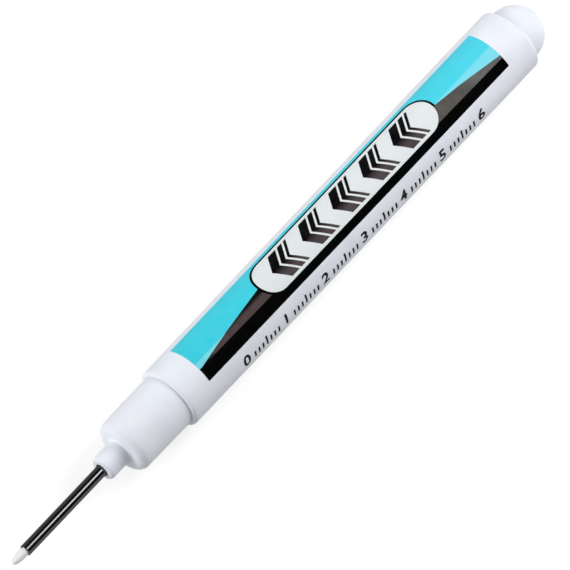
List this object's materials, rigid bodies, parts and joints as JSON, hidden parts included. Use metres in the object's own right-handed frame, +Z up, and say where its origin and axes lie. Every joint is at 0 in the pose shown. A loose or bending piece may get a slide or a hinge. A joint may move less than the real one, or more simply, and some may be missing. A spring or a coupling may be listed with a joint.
{
  "type": "paint marker",
  "caption": "White paint marker with a long thin metal nose, a fibre nib that opens a sprung valve when pressed, a free-ink barrel with a mixing ball and a domed tail plug.",
  "frame": {"origin": "under the middle of the marker, on the surface that it lies on", "axes": "+X along the marker from its nib towards its tail, +Z up from the surface that it lies on"},
  "size_m": [0.1334, 0.012, 0.0121],
  "materials": {
    "white_plastic": "moulded, satin gloss",
    "dark_polished_steel": "dark polished",
    "nib_fibre": "matt pressed fibre",
    "natural_plastic": "unpigmented, satin",
    "gasket_rubber": "matt",
    "bright_steel": "bright drawn",
    "cyan_ink": "printed, satin",
    "pale_cyan_ink": "printed, satin",
    "grey_ink": "printed, satin",
    "black_ink": "printed, satin",
    "white_ink": "printed, satin"
  },
  "bodies": {
    "casing": {"barrel": "white_plastic", "tail_plug": "white_plastic", "front_section": "white_plastic", "nose_tube": "dark_polished_steel", "valve_body": "natural_plastic", "valve_gasket": "gasket_rubber", "valve_spring": "bright_steel", "spring_retainer": "natural_plastic"},
    "nib_unit": {"nib": "nib_fibre", "nib_collar": "natural_plastic"},
    "valve_plunger": {"valve_stem": "natural_plastic"},
    "ball": {"mixing_ball": "bright_steel"}
  },
  "joints": [
    {"name": "nib_press", "type": "slide", "parent": "casing", "child": "nib_unit", "axis": [1, 0, 0], "range_m": [0, 0.002], "stiffness_N_per_m": 600, "springref_m": -0.0015},
    {"name": "valve_lift", "type": "slide", "parent": "casing", "child": "valve_plunger", "axis": [1, 0, 0], "range_m": [0, 0.002], "deforming": ["valve_spring"]},
    {"name": "ball_roll", "type": "slide", "parent": "casing", "child": "ball", "axis": [1, 0, 0], "range_m": [0, 0.0585]}
  ],
  "couplings": [
    {"joint": "valve_lift", "follows": "nib_press", "ratio": 1}
  ]
}
